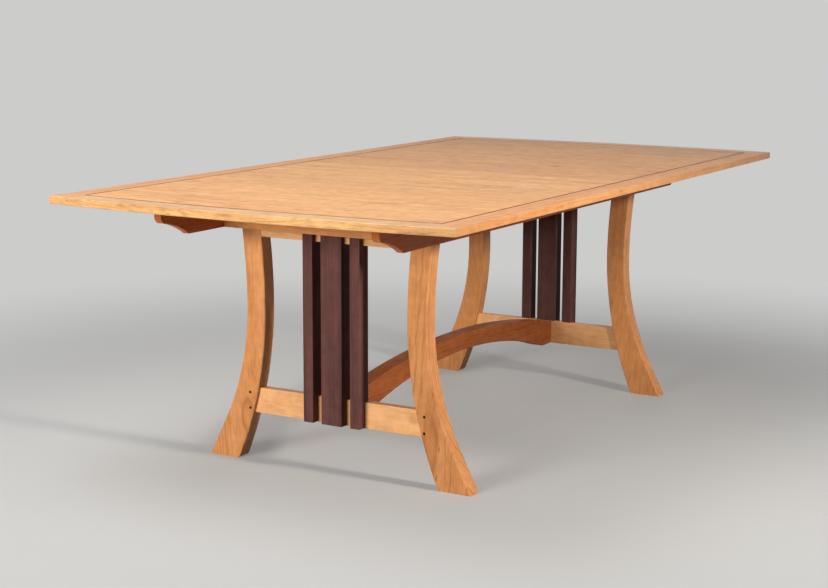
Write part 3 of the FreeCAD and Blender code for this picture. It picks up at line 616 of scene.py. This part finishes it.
@dataclass
class WoodShop:
    """Makes the finishes and puts them on the table's pieces.

    The board tones are the darkest and palest of boards in one piece. The end turn is how squarely a
    surface faces along the grain where end grain starts and where it is full.
    """

    nodes: dict[str, bpy.types.Object]
    board_tones: Pair = (-0.06, 0.05)
    joint_depth: float = 0.3
    end_turn: Pair = (0.6, 0.95)
    bump_strength: float = 0.25
    bump_depth: float = 0.0004

    def __post_init__(self) -> None:
        """Build the shared groups once."""
        self.layup = BoardLayup().make()
        self.wood = SolidWood(RingFigure().make(), FibreFigure().make()).make()

    def finish_wood(self, piece: str, cut: Cut) -> None:
        """Give a piece a wood of its own, sawn as its cut says."""
        self.put_on(piece, self.make_wood(piece, cut))

    def make_wood(self, piece: str, cut: Cut) -> bpy.types.Material:
        """Make the wood of one piece.

        Args:
            piece: The name of the piece that the log is laid through.
            cut: The kind of wood, and how the piece was sawn.

        Returns:
            The finished material.
        """
        finish = cut.finish
        material, graph, shader = self.new_material(f"wood_{piece}")
        place, end_grain = self.log_place(graph, piece, cut)
        tone: Feed = cut.tone
        joint = None
        if cut.board_width:
            layup_feeds = {"Vector": place, "Board Width": cut.board_width, "Seed": cut.seed}
            layup = graph.place_group(self.layup, layup_feeds)
            darkest, palest = self.board_tones
            tone = graph.ramp(layup["Tone"], 0.0, 1.0, cut.tone + darkest, cut.tone + palest)
            place, joint = layup["Vector"], layup["Joint"]
        wood_feeds = {"Vector": place, "Tone": tone, "End Grain": end_grain, **finish.feeds()}
        wood = graph.place_group(self.wood, wood_feeds)
        colour = wood["Color"]
        if joint is not None:
            colour = graph.blend(graph.times(joint, self.joint_depth), colour, finish.deep)
        bump_feeds = {"Strength": self.bump_strength, "Distance": self.bump_depth, "Height": wood["Height"]}
        bump = graph.add("ShaderNodeBump", bump_feeds)
        graph.feed(shader.inputs["Base Color"], colour)
        graph.feed(shader.inputs["Roughness"], wood["Roughness"])
        graph.feed(shader.inputs["Normal"], bump.outputs["Normal"])
        shader.inputs["Specular IOR Level"].default_value = finish.specular
        shader.inputs["Coat Weight"].default_value = finish.coat
        shader.inputs["Coat Roughness"].default_value = finish.coat_roughness
        return material

    def log_place(self, graph: Graph, piece: str, cut: Cut) -> tuple[Socket, Socket]:
        """Turn a place in a piece into a place in its log, with the pith on the third axis.

        Args:
            graph: The material's nodes.
            piece: The piece's name.
            cut: How the piece was sawn.

        Returns:
            The place in the log, and how much of the surface there is end grain.
        """
        low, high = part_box(piece)
        middle = dict(zip("XYZ", (low + high) / 2))
        axes = cut.grain.value
        coordinates = graph.add("ShaderNodeTexCoord").outputs
        parts = graph.parts(coordinates["Object"])
        turned = graph.add("ShaderNodeCombineXYZ", {number: parts[axis] for number, axis in enumerate(axes)})
        log_middle = tuple(middle[axis] for axis in axes)
        feeds = {
            "Vector": graph.reckon_vector("SUBTRACT", turned.outputs[0], log_middle),
            "Location": (-cut.pith[0], -cut.pith[1], cut.seed),
            "Rotation": (0.0, math.radians(cut.lean), 0.0),
        }
        facing = graph.reckon("ABSOLUTE", graph.parts(coordinates["Normal"])[axes[-1]])
        end_grain = graph.ramp(facing, *self.end_turn)
        return graph.add("ShaderNodeMapping", feeds).outputs[0], end_grain

    def finish_metal(self, piece: str, finish: MetalFinish) -> None:
        """Give a piece a bare metal with faint turning marks.

        Args:
            piece: The piece's name.
            finish: The kind of metal.
        """
        material, graph, shader = self.new_material(f"metal_{piece}")
        place = graph.add("ShaderNodeTexCoord").outputs["Object"]
        cloud = graph.noise(place, finish.clouds, finish.cloud_detail)["Fac"]
        marks = graph.noise(place, finish.marks, finish.mark_detail)["Fac"]
        rough = graph.ramp(marks, *finish.mark_levels, finish.smooth, finish.rough)
        graph.feed(shader.inputs["Base Color"], graph.blend(cloud, finish.dark, finish.light))
        graph.feed(shader.inputs["Roughness"], rough)
        shader.inputs["Metallic"].default_value = 1.0
        self.put_on(piece, material)

    def new_material(self, name: str) -> tuple[bpy.types.Material, Graph, bpy.types.Node]:
        """Start a material.

        Args:
            name: The material's name.

        Returns:
            The material, its nodes and its surface shader.
        """
        material = bpy.data.materials.new(name)
        material.use_nodes = True
        material.node_tree.nodes.clear()
        graph = Graph(material.node_tree)
        shader = graph.add("ShaderNodeBsdfPrincipled")
        graph.add("ShaderNodeOutputMaterial", {"Surface": shader.outputs["BSDF"]})
        return material, graph, shader

    def put_on(self, piece: str, material: bpy.types.Material) -> None:
        """Assign a material to every slot of a piece."""
        for slot in self.nodes[piece].material_slots:
            slot.material = material


# Finishes
FIELD_CHERRY = WoodFinish(
    paint(234, 178, 111), paint(214, 151, 88), paint(154, 88, 44),
    late_depth=0.45, streak_depth=0.6, knots=0.3, specular=0.5,
)
# Rosier and a little darker than the near half's field: partly a painted reflection of the grey room, partly
# painted shade on the far half.
ROSY_FIELD_CHERRY = WoodFinish(
    paint(230, 171, 107), paint(210, 145, 85), paint(149, 83, 42),
    late_depth=0.45, streak_depth=0.6, knots=0.3, specular=0.5,
)
BORDER_CHERRY = WoodFinish(
    paint(221, 157, 92), paint(205, 137, 76), paint(154, 88, 44),
    late_depth=0.35, streak_depth=0.4, knots=0.3, specular=0.5, coat=0.15,
)
# Paler and yellower than the long borders, partly painted light for the lamp on the end's edge.
END_BORDER_CHERRY = WoodFinish(
    paint(231, 183, 121), paint(209, 154, 96), paint(150, 93, 51),
    late_depth=0.5, streak_depth=0.7, knots=0.3, specular=0.5, coat=0.3, coat_roughness=0.2,
)
LEG_CHERRY = WoodFinish(
    paint(220, 155, 98), paint(207, 138, 82), paint(150, 87, 45),
    ring_width=0.011, waver=0.022, late_depth=0.6, streak_depth=0.42, knots=0.7, fleck_depth=0.6,
)
RAIL_CHERRY = WoodFinish(
    paint(240, 186, 129), paint(230, 170, 115), paint(174, 112, 67),
    streak_depth=0.36,
)
# Painted shade: darker and redder than the legs' cherry, for the shade that falls on the stretcher under the
# table.
SHADED_STRETCHER_CHERRY = WoodFinish(
    paint(160, 91, 48), paint(140, 77, 40), paint(88, 44, 22),
    late_depth=0.5, streak_depth=0.5, knots=0.3, specular=0.05, coat=0.0,
)
# Redder and darker than the legs' cherry, partly painted shade for pieces that sit in the top's shadow.
BEARER_CHERRY = WoodFinish(
    paint(214, 126, 70), paint(196, 108, 56), paint(136, 66, 33),
    knots=0.3, specular=0.1,
)
SLAT_WOOD = WoodFinish(
    paint(113, 74, 69), paint(88, 60, 57), paint(46, 30, 31),
    ring_width=0.005, waver=0.006, taper=0.008, knots=0.0, fleck_depth=0.2,
    roughness=0.55, specular=0.05, coat=0.0,
)
INLAY_WOOD = WoodFinish(
    paint(116, 42, 24), paint(98, 33, 19), paint(62, 21, 13),
    ring_width=0.003, knots=0.0, fleck_depth=0.0, roughness=0.6, specular=0.05, coat=0.0,
)
PEG_WOOD = WoodFinish(
    paint(62, 34, 24), paint(50, 27, 19), paint(28, 16, 12),
    ring_width=0.002, knots=0.0, fleck_depth=0.0, specular=0.3, coat=0.0,
)
KEY_MAPLE = WoodFinish(
    paint(228, 206, 170), paint(216, 190, 150), paint(188, 156, 114),
    late_depth=0.3, knots=0.0, fleck_depth=0.1,
)
SCREW_STEEL = MetalFinish(paint(196, 198, 200), paint(150, 152, 156))


class SubAssembly:
    """Pieces that belong together and are dressed together."""

    def cuts(self) -> dict[str, Cut]:
        """Say how each wooden piece was sawn; each kind of sub-assembly does this in its own way."""
        raise NotImplementedError

    def metal_pieces(self) -> list[str]:
        """Name the metal pieces."""
        return []

    def dress(self, shop: WoodShop) -> list[str]:
        """Give every piece its finish.

        Args:
            shop: Where the finishes come from.

        Returns:
            The pieces' names.
        """
        cuts = self.cuts()
        for piece, cut in cuts.items():
            shop.finish_wood(piece, cut)
        metal_pieces = self.metal_pieces()
        for piece in metal_pieces:
            shop.finish_metal(piece, SCREW_STEEL)
        return [*cuts, *metal_pieces]


@dataclass
class Spine(SubAssembly):
    """What joins the two trestles: the stretcher, the runners, their keys and their screws."""

    stretcher_pith: Pair = (0.12, -0.1)
    runner_pith: Pair = (0.1, 0.04)
    runner_seed: float = 5.0
    key_seed: float = 8.0

    def cuts(self) -> dict[str, Cut]:
        """Say how each wooden piece was sawn.

        Returns:
            The cuts by the pieces' names.
        """
        cuts = {
            "stretcher": Cut(SHADED_STRETCHER_CHERRY, Grain.ALONG, self.stretcher_pith, seed=2.4),
            "stretcher_pegs": Cut(PEG_WOOD, Grain.UPRIGHT, seed=0.7),
        }
        for number, side in enumerate(Side):
            runner_seed = self.runner_seed + number
            cuts[f"{side}_runner"] = Cut(BEARER_CHERRY, Grain.ALONG, self.runner_pith, seed=runner_seed)
            cuts[f"{side}_runner_key"] = Cut(KEY_MAPLE, Grain.ALONG, seed=self.key_seed + number)
        return cuts

    def metal_pieces(self) -> list[str]:
        """Name the metal pieces."""
        return [f"{side}_runner_screws" for side in Side]


@dataclass
class EndAssembly(SubAssembly):
    """Pieces at one end of the table, whose logs start at the first seed."""

    end: End
    first_seed: float

    def at_end(self, cuts: dict[str, Cut]) -> dict[str, Cut]:
        """Name the pieces for their end and start their logs at the first seed.

        Args:
            cuts: The cuts by the pieces' names without the end, with seeds counted from the first.

        Returns:
            The cuts by the pieces' full names.
        """
        named = {}
        for piece, cut in cuts.items():
            named[f"{self.end}_{piece}"] = replace(cut, seed=self.first_seed + cut.seed)
        return named


@dataclass
class LegPegs:
    """The turned pegs in one end's legs, with softly domed heads.

    The rim share is the dome's rim as a part of the radius. The shoulder share and the sunk share are
    parts of the dome's height. They say how deep the peg's edge and the dome's rim lie below the end of
    the plain solid.
    """

    end: End
    radius: float = 0.004
    dome: float = 0.0011
    rim_share: float = 0.94
    shoulder_share: float = 0.6
    sunk_share: float = 0.25
    rings: int = 5
    segments: int = 24
    pith: Pair = (0.001, 0.001)

    def build(self, shop: WoodShop) -> str:
        """Turn the pegs in place of their plain solids.

        Args:
            shop: Where the finishes come from.

        Returns:
            The name of the new piece.
        """
        node = f"{self.end}_leg_pegs"
        low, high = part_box(node)
        outward = 1.0 if self.end is End.RIGHT else -1.0
        face = high.x if self.end is End.RIGHT else low.x
        shape = bmesh.new()
        for across in (low.y + self.radius, high.y - self.radius):
            for height in (low.z + self.radius, high.z - self.radius):
                self.turn_peg(shape, Vector((face, across, height)), outward, high.x - low.x)
        bmesh.ops.recalc_face_normals(shape, faces=shape.faces)
        mesh = bpy.data.meshes.new(f"{self.end}_domed_pegs")
        shape.to_mesh(mesh)
        shape.free()
        mesh.shade_smooth()
        mesh.materials.append(shop.make_wood(node, Cut(PEG_WOOD, Grain.ALONG, self.pith)))
        pegs = bpy.data.objects.new(f"{self.end}_domed_pegs", mesh)
        bpy.context.scene.collection.objects.link(pegs)
        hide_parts(node)
        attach(pegs, "base")
        return pegs.name

    def turn_peg(self, shape: bmesh.types.BMesh, face: Vector, outward: float, depth: float) -> None:
        """Turn one peg about the line along the table through its head.

        Args:
            shape: The mesh to add to.
            face: The middle of the plain solid's outer end.
            outward: Which way the head looks along the table.
            depth: How far the peg goes in.
        """
        section = [(self.radius, -depth), (self.radius, -self.dome * self.shoulder_share)]
        rim = self.radius * self.rim_share
        for ring in range(self.rings):
            turn = math.pi / 2 * ring / self.rings
            section.append((rim * math.cos(turn), self.dome * (math.sin(turn) - self.sunk_share)))
        loops = []
        for reach, rise in section:
            loop = []
            for step in range(self.segments):
                angle = 2 * math.pi * step / self.segments
                spot = Vector((outward * rise, reach * math.cos(angle), reach * math.sin(angle)))
                loop.append(shape.verts.new(face + spot))
            loops.append(loop)
        tip_rise = self.dome * (1.0 - self.sunk_share)
        tip = shape.verts.new(face + Vector((outward * tip_rise, 0.0, 0.0)))
        for inner, outer in zip(loops, loops[1:]):
            for step in range(self.segments):
                after = (step + 1) % self.segments
                shape.faces.new((inner[step], inner[after], outer[after], outer[step]))
        top_loop = loops[-1]
        for step in range(self.segments):
            shape.faces.new((top_loop[step], top_loop[(step + 1) % self.segments], tip))
        shape.faces.new(loops[0])


@dataclass
class Trestle(EndAssembly):
    """One end's legs, rails, slats and pegs."""

    # Painted light on the front leg above nought, painted shade on it below nought.
    front_leg_painted_light: float = 0.0
    # Painted shade on the slats, darker where less light reaches them.
    slat_painted_shade: float = 0.0
    leg_lean: float = 4.0

    def cuts(self) -> dict[str, Cut]:
        """Say how each wooden piece was sawn.

        Returns:
            The cuts by the pieces' names.
        """
        lean, tone = self.leg_lean, self.slat_painted_shade
        return self.at_end({
            "front_leg": Cut(LEG_CHERRY, Grain.UPRIGHT, pith=(0.02, 0.07), lean=lean, tone=self.front_leg_painted_light),
            "back_leg": Cut(LEG_CHERRY, Grain.UPRIGHT, pith=(-0.03, 0.07), lean=-lean, seed=1.3),
            "lower_rail": Cut(RAIL_CHERRY, Grain.ACROSS, pith=(0.16, 0.02), seed=2.1),
            "top_rail": Cut(RAIL_CHERRY, Grain.ACROSS, pith=(0.12, 0.05), seed=3.7),
            "front_slat": Cut(SLAT_WOOD, Grain.UPRIGHT, pith=(0.05, 0.06), seed=4.0, tone=tone),
            "middle_slat": Cut(SLAT_WOOD, Grain.UPRIGHT, pith=(0.08, 0.06), seed=4.9, tone=tone),
            "back_slat": Cut(SLAT_WOOD, Grain.UPRIGHT, pith=(0.11, 0.06), seed=5.8, tone=tone),
        })

    def dress(self, shop: WoodShop) -> list[str]:
        """Give every piece its finish and turn the pegs."""
        return [*super().dress(shop), LegPegs(self.end).build(shop)]


@dataclass
class TopHalf(EndAssembly):
    """One half of the top: field, borders and inlay, and the seam pins in the right half's edge."""

    field_finish: WoodFinish
    board_width: float = 0.118
    pin_seed: float = 9.5

    def cuts(self) -> dict[str, Cut]:
        """Say how each wooden piece was sawn.

        Returns:
            The cuts by the pieces' names.
        """
        cuts = self.at_end({
            "field": Cut(self.field_finish, Grain.ACROSS, pith=(0.0, -0.09), board_width=self.board_width),
            "end_border": Cut(END_BORDER_CHERRY, Grain.ACROSS, pith=(0.06, -0.08), seed=1.0),
            "end_inlay": Cut(INLAY_WOOD, Grain.ACROSS, seed=2.0),
            "front_border": Cut(BORDER_CHERRY, Grain.ALONG, pith=(0.05, -0.07), seed=3.0),
            "back_border": Cut(BORDER_CHERRY, Grain.ALONG, pith=(-0.05, -0.07), seed=4.0),
            "front_inlay": Cut(INLAY_WOOD, Grain.ALONG, seed=5.0),
            "back_inlay": Cut(INLAY_WOOD, Grain.ALONG, seed=6.0),
        })
        if self.end is End.RIGHT:
            cuts["seam_pins"] = Cut(KEY_MAPLE, Grain.ALONG, seed=self.pin_seed)
        return cuts


@dataclass
class Underframe(EndAssembly):
    """What is fixed under one half of the top: bearers, cross board, batten and screws."""

    # Painted light: the cross board is made paler, though it sits in the shade of the top's overhang.
    cross_board_painted_light: float = 0.1

    def cuts(self) -> dict[str, Cut]:
        """Say how each wooden piece was sawn.

        Returns:
            The cuts by the pieces' names.
        """
        tone = self.cross_board_painted_light
        return self.at_end({
            "front_bearer": Cut(BEARER_CHERRY, Grain.ALONG, pith=(0.08, 0.05)),
            "back_bearer": Cut(BEARER_CHERRY, Grain.ALONG, pith=(0.08, 0.09), seed=1.0),
            "cross_board": Cut(BORDER_CHERRY, Grain.ACROSS, pith=(0.1, 0.05), seed=3.0, tone=tone),
            "batten": Cut(BEARER_CHERRY, Grain.ACROSS, pith=(0.1, 0.03), seed=4.0),
        })

    def metal_pieces(self) -> list[str]:
        """Name the metal pieces."""
        return [f"{self.end}_top_screws"]


@dataclass(frozen=True)
class Lamp:
    """A soft rectangular lamp, which shows in polished surfaces only if it shines."""

    name: str
    place: Triple
    aim: Triple
    width: float
    height: float
    watts: float
    colour: Triple = (1.0, 1.0, 1.0)
    spread: float = 180.0
    shines: bool = False

    def hang(self) -> None:
        """Make the lamp and turn it to what it lights."""
        data = bpy.data.lights.new(self.name, "AREA")
        data.shape = "RECTANGLE"
        data.size = self.width
        data.size_y = self.height
        data.energy = self.watts
        data.color = self.colour
        data.spread = math.radians(self.spread)
        lamp = bpy.data.objects.new(self.name, data)
        lamp.location = self.place
        lamp.rotation_euler = (Vector(self.aim) - Vector(self.place)).to_track_quat("-Z", "Y").to_euler()
        lamp.visible_camera = False
        lamp.visible_glossy = self.shines
        bpy.context.scene.collection.objects.link(lamp)


# Lamps
WARM_WHITE = (1.0, 0.97, 0.93)
AMBER_WHITE = (1.0, 0.94, 0.86)
KEY_LAMP = Lamp(
    "key_lamp", place=(-4.6, 0.9, 1.45), aim=(-0.6, 0.0, 0.55),
    width=1.8, height=0.9, watts=176.0, colour=WARM_WHITE,
)
SIDE_LAMP = Lamp(
    "side_lamp", place=(-0.62, -3.4, 1.75), aim=(-0.5, -0.2, 0.42),
    width=0.3, height=0.3, watts=27.0, colour=AMBER_WHITE, spread=84.0,
)
SKY_LAMP = Lamp(
    "sky_lamp", place=(-1.15, 0.6, 3.0), aim=(-0.95, 0.3, 0.7),
    width=1.8, height=1.4, watts=50.0, shines=True,
)
BACK_LAMP = Lamp(
    "back_lamp", place=(6.0, 2.7, 1.0), aim=(0.0, 0.0, 0.4),
    width=3.0, height=1.2, watts=150.0, colour=WARM_WHITE,
)


@dataclass
class Studio:
    """The floor, the lamps, the world and the camera.

    The floor has one colour where it looks even, one where it takes shadows and one that it throws back
    as light. It looks even by the even share near the table, and wholly so far away.
    """

    floor_radius: float = 300.0
    floor_segments: int = 96
    floor_roughness: float = 0.9
    floor_specular: float = 0.1
    floor_even: Colour = field(default_factory=lambda: paint(204, 204, 203))
    floor_shaded: Colour = field(default_factory=lambda: paint(186, 186, 185))
    floor_thrown: Colour = field(default_factory=lambda: paint(130, 130, 130))
    even_share: float = 0.3
    even_near: float = 1.0
    even_far: float = 3.0
    world_light: Colour = field(default_factory=lambda: paint(200, 202, 205))
    world_strength: float = 0.24
    camera_place: Triple = (-4.33415, -2.36434, 1.26265)
    camera_yaw: float = 29.99
    camera_pitch: float = -10.07
    camera_roll: float = 0.19
    focal_pixels: float = 1698.65
    picture_pixels: float = 828.0
    sensor_width: float = 36.0
    lamps: tuple[Lamp, ...] = (KEY_LAMP, SIDE_LAMP, SKY_LAMP, BACK_LAMP)

    def build(self) -> None:
        """Set up the whole studio."""
        self.lay_floor()
        for lamp in self.lamps:
            lamp.hang()
        self.light_world()
        self.place_camera()
        bpy.context.scene.view_settings.view_transform = "Standard"

    def lay_floor(self) -> None:
        """Lay a wide round floor."""
        shape = bmesh.new()
        radius, segments = self.floor_radius, self.floor_segments
        bmesh.ops.create_circle(shape, cap_ends=True, radius=radius, segments=segments)
        mesh = bpy.data.meshes.new("floor")
        shape.to_mesh(mesh)
        shape.free()
        mesh.materials.append(self.make_floor_finish())
        floor = bpy.data.objects.new("floor", mesh)
        bpy.context.scene.collection.objects.link(floor)

    def make_floor_finish(self) -> bpy.types.Material:
        """Make a finish that looks evenly pale and still takes the table's shadow.

        Returns:
            The floor's material.
        """
        material = bpy.data.materials.new("pale_floor")
        material.use_nodes = True
        material.node_tree.nodes.clear()
        graph = Graph(material.node_tree)
        seen = self.seen_share(graph)
        shader = graph.add("ShaderNodeBsdfPrincipled", {
            "Base Color": graph.blend(seen, self.floor_thrown, self.floor_shaded),
            "Roughness": self.floor_roughness,
            "Specular IOR Level": self.floor_specular,
        })
        even = graph.add("ShaderNodeEmission", {"Color": self.floor_even, "Strength": 1.0})
        away = graph.length(graph.add("ShaderNodeTexCoord").outputs["Object"])
        share = graph.ramp(away, self.even_near, self.even_far, self.even_share, 1.0)
        feeds = {0: graph.times(share, seen), 1: shader.outputs["BSDF"], 2: even.outputs[0]}
        mixed = graph.add("ShaderNodeMixShader", feeds)
        graph.add("ShaderNodeOutputMaterial", {"Surface": mixed.outputs[0]})
        return material

    def seen_share(self, graph: Graph) -> Socket:
        """Tell rays that the eye follows, straight or in a gloss, from rays that only carry light.

        Args:
            graph: The material's nodes.

        Returns:
            One for a ray that the eye follows, or nought.
        """
        path = graph.add("ShaderNodeLightPath").outputs
        glossy = graph.reckon("MAXIMUM", path["Is Glossy Ray"], path["Is Transmission Ray"])
        return graph.reckon("MAXIMUM", path["Is Camera Ray"], glossy)

    def light_world(self) -> None:
        """Fill the room with a little even light, in front of a pale backdrop."""
        world = bpy.data.worlds.new("studio_world")
        bpy.context.scene.world = world
        world.use_nodes = True
        world.node_tree.nodes.clear()
        graph = Graph(world.node_tree)
        light_feeds = {"Color": self.world_light, "Strength": self.world_strength}
        light = graph.add("ShaderNodeBackground", light_feeds)
        backdrop = graph.add("ShaderNodeBackground", {"Color": self.floor_even, "Strength": 1.0})
        feeds = {0: self.seen_share(graph), 1: light.outputs[0], 2: backdrop.outputs[0]}
        mixed = graph.add("ShaderNodeMixShader", feeds)
        graph.add("ShaderNodeOutputWorld", {"Surface": mixed.outputs[0]})

    def place_camera(self) -> None:
        """Put the camera where the table was seen from."""
        turns = (self.camera_yaw, self.camera_pitch, self.camera_roll)
        yaw, pitch, roll = (math.radians(turn) for turn in turns)
        level = math.cos(pitch)
        ahead = Vector((level * math.cos(yaw), level * math.sin(yaw), math.sin(pitch)))
        level_right = Vector((math.sin(yaw), -math.cos(yaw), 0.0))
        level_up = level_right.cross(ahead)
        right = level_right * math.cos(roll) + level_up * math.sin(roll)
        upward = level_up * math.cos(roll) - level_right * math.sin(roll)
        data = bpy.data.cameras.new("camera")
        data.sensor_width = self.sensor_width
        data.sensor_fit = "HORIZONTAL"
        data.lens = self.sensor_width * self.focal_pixels / self.picture_pixels
        camera = bpy.data.objects.new("camera", data)
        turn = Matrix((right, upward, -ahead)).transposed().to_4x4()
        camera.matrix_world = Matrix.Translation(self.camera_place) @ turn
        bpy.context.scene.collection.objects.link(camera)
        bpy.context.scene.camera = camera


def clear_scene() -> None:
    """Take away what a new file starts with."""
    for item in list(bpy.data.objects):
        bpy.data.objects.remove(item)


def main() -> None:
    """Load the solids, dress them and set up the studio."""
    clear_scene()
    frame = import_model()
    shop = WoodShop(frame["nodes"])
    assemblies = (
        Spine(),
        # Painted shade on this end's front leg.
        Trestle(End.LEFT, first_seed=0.0, front_leg_painted_light=-0.08),
        TopHalf(End.LEFT, first_seed=11.0, field_finish=FIELD_CHERRY),
        Underframe(End.LEFT, first_seed=51.0),
        # Painted light on this end's front leg and painted shade on its slats.
        Trestle(End.RIGHT, first_seed=7.0, front_leg_painted_light=0.1, slat_painted_shade=-0.18),
        TopHalf(End.RIGHT, first_seed=31.0, field_finish=ROSY_FIELD_CHERRY),
        Underframe(End.RIGHT, first_seed=71.0),
    )
    for assembly in assemblies:
        for piece in assembly.dress(shop):
            log.info("%s: %s is dressed", type(assembly).__name__, piece)
    Studio().build()


if __name__ == "__main__":
    main()
